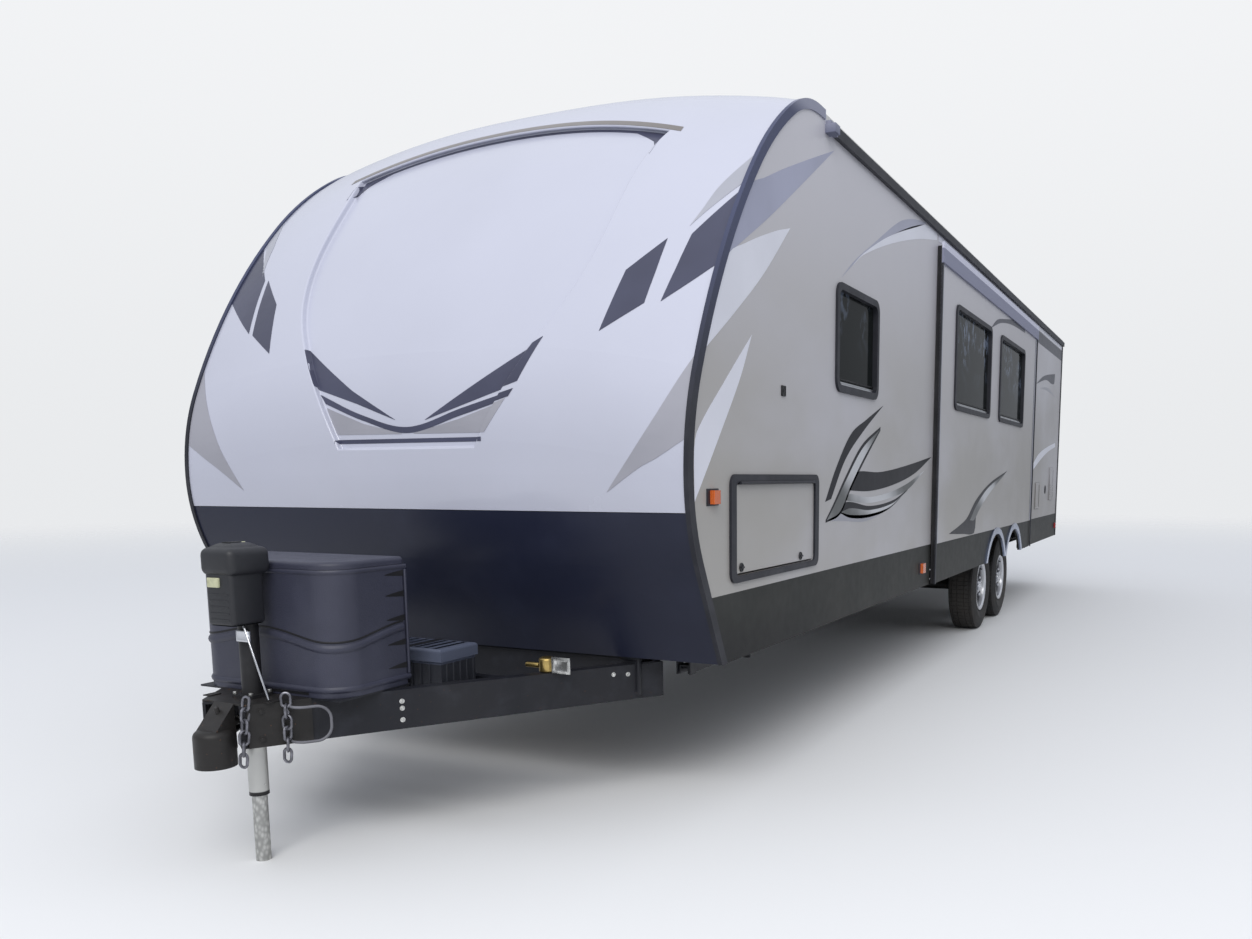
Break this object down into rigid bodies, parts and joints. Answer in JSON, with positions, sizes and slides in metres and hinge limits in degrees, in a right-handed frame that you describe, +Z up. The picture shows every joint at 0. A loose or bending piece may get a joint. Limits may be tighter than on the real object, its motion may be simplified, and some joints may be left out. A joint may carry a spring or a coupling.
{
  "type": "travel trailer",
  "caption": "Long towed living trailer with a rounded moulded nose, one slide-out room, tandem axles under double fender arches, and an A-frame tongue standing on its jack.",
  "frame": {"origin": "on the ground, midway along the overall length, on the trailer's centreline", "axes": "+X to the driver's side, +Y to the rear, +Z up"},
  "size_m": [2.609, 10.6315, 3.222],
  "materials": {
    "cap_white": "gloss gelcoat",
    "guard_black": "satin",
    "siding": "satin",
    "skirt_grey": "satin",
    "trim_black": "satin",
    "roof_white": "matte",
    "floor_board": "sealed",
    "belly_black": "matte",
    "panel_board": "laminate",
    "glass_dark": "tinted",
    "steel_black": "satin",
    "zinc": "galvanised",
    "jack_plastic": "textured",
    "bottle_white": "gloss",
    "cover_grey": "textured",
    "axle_steel": "semi gloss",
    "tyre": "rubber",
    "alloy": "machined",
    "lens": "clear moulded",
    "awning_fabric": "woven",
    "cable_rubber": "matte"
  },
  "bodies": {
    "trailer": {"front_cap": "cap_white", "front_guard": "guard_black", "side_wall_left": "siding", "side_wall_right": "siding", "rear_wall": "siding", "roof": "roof_white", "floor": "floor_board", "underbelly": "belly_black", "storage_bulkhead": "panel_board", "skirts": "skirt_grey", "body_trims": "trim_black", "window_frames": "trim_black", "window_glass": "glass_dark", "main_rails": "steel_black", "outriggers": "steel_black", "cross_members": "steel_black", "tongue_frame": "steel_black", "coupler": "steel_black", "jack_tube": "steel_black", "jack_housing": "jack_plastic", "brake_cable": "cable_rubber", "propane_bottles": "bottle_white", "propane_cover": "cover_grey", "battery_box": "jack_plastic", "axles": "axle_steel", "leaf_springs": "axle_steel", "rear_bumper": "steel_black", "spare_wheel": "tyre", "lights": "lens", "air_conditioner": "roof_white", "roof_vents": "roof_white", "awning": "awning_fabric", "grab_handle": "trim_black", "entry_steps": "steel_black"},
    "slide_out_room": {"slide_room": "panel_board", "slide_face": "siding", "slide_skirt": "skirt_grey", "slide_trims": "trim_black", "slide_glass": "glass_dark"},
    "entry_door": {"entry_door": "siding", "door_glass": "glass_dark"},
    "baggage_door_left": {"baggage_door_left": "siding"},
    "baggage_door_right": {"baggage_door_right": "siding"},
    "propane_lid": {"propane_lid": "cover_grey"},
    "jack_leg": {"jack_drop_leg": "zinc"},
    "wheel_left_front": {"tyre_left_front": "tyre", "rim_left_front": "alloy"},
    "wheel_left_rear": {"tyre_left_rear": "tyre", "rim_left_rear": "alloy"},
    "wheel_right_front": {"tyre_right_front": "tyre", "rim_right_front": "alloy"},
    "wheel_right_rear": {"tyre_right_rear": "tyre", "rim_right_rear": "alloy"},
    "stabiliser_front_left": {"stabiliser_front_left": "steel_black"},
    "stabiliser_front_right": {"stabiliser_front_right": "steel_black"},
    "stabiliser_rear_left": {"stabiliser_rear_left": "steel_black"},
    "stabiliser_rear_right": {"stabiliser_rear_right": "steel_black"}
  },
  "joints": [
    {"name": "wheel_left_front_spin", "type": "hinge", "parent": "trailer", "child": "wheel_left_front", "pos_m": [1.037, 1.091, 0.355], "axis": [1, 0, 0], "continuous": true},
    {"name": "wheel_left_rear_spin", "type": "hinge", "parent": "trailer", "child": "wheel_left_rear", "pos_m": [1.037, 1.931, 0.355], "axis": [1, 0, 0], "continuous": true},
    {"name": "wheel_right_front_spin", "type": "hinge", "parent": "trailer", "child": "wheel_right_front", "pos_m": [-1.037, 1.091, 0.355], "axis": [1, 0, 0], "continuous": true},
    {"name": "wheel_right_rear_spin", "type": "hinge", "parent": "trailer", "child": "wheel_right_rear", "pos_m": [-1.037, 1.931, 0.355], "axis": [1, 0, 0], "continuous": true},
    {"name": "slide_out", "type": "slide", "parent": "trailer", "child": "slide_out_room", "axis": [1, 0, 0], "range_m": [0, 0.85]},
    {"name": "entry_door_hinge", "type": "hinge", "parent": "trailer", "child": "entry_door", "pos_m": [-1.232, -0.297, 1.7], "axis": [0, 0, 1], "range_deg": [0, 160]},
    {"name": "baggage_door_left_hinge", "type": "hinge", "parent": "trailer", "child": "baggage_door_left", "pos_m": [1.232, -3.579, 1.238], "axis": [0, -1, 0], "range_deg": [0, 160]},
    {"name": "baggage_door_right_hinge", "type": "hinge", "parent": "trailer", "child": "baggage_door_right", "pos_m": [-1.232, -3.579, 1.238], "axis": [0, 1, 0], "range_deg": [0, 160]},
    {"name": "propane_lid_hinge", "type": "hinge", "parent": "trailer", "child": "propane_lid", "pos_m": [0, -4.727, 0.97], "axis": [-1, 0, 0], "range_deg": [0, 80]},
    {"name": "jack_leg_slide", "type": "slide", "parent": "trailer", "child": "jack_leg", "axis": [0, 0, 1], "range_m": [0, 0.22]},
    {"name": "stabiliser_front_left_hinge", "type": "hinge", "parent": "trailer", "child": "stabiliser_front_left", "pos_m": [0.98, -3.929, 0.52], "axis": [-1, 0, 0], "range_deg": [0, 70]},
    {"name": "stabiliser_front_right_hinge", "type": "hinge", "parent": "trailer", "child": "stabiliser_front_right", "pos_m": [-0.98, -3.929, 0.52], "axis": [-1, 0, 0], "range_deg": [0, 70]},
    {"name": "stabiliser_rear_left_hinge", "type": "hinge", "parent": "trailer", "child": "stabiliser_rear_left", "pos_m": [0.98, 4.551, 0.52], "axis": [1, 0, 0], "range_deg": [0, 70]},
    {"name": "stabiliser_rear_right_hinge", "type": "hinge", "parent": "trailer", "child": "stabiliser_rear_right", "pos_m": [-0.98, 4.551, 0.52], "axis": [1, 0, 0], "range_deg": [0, 70]}
  ]
}
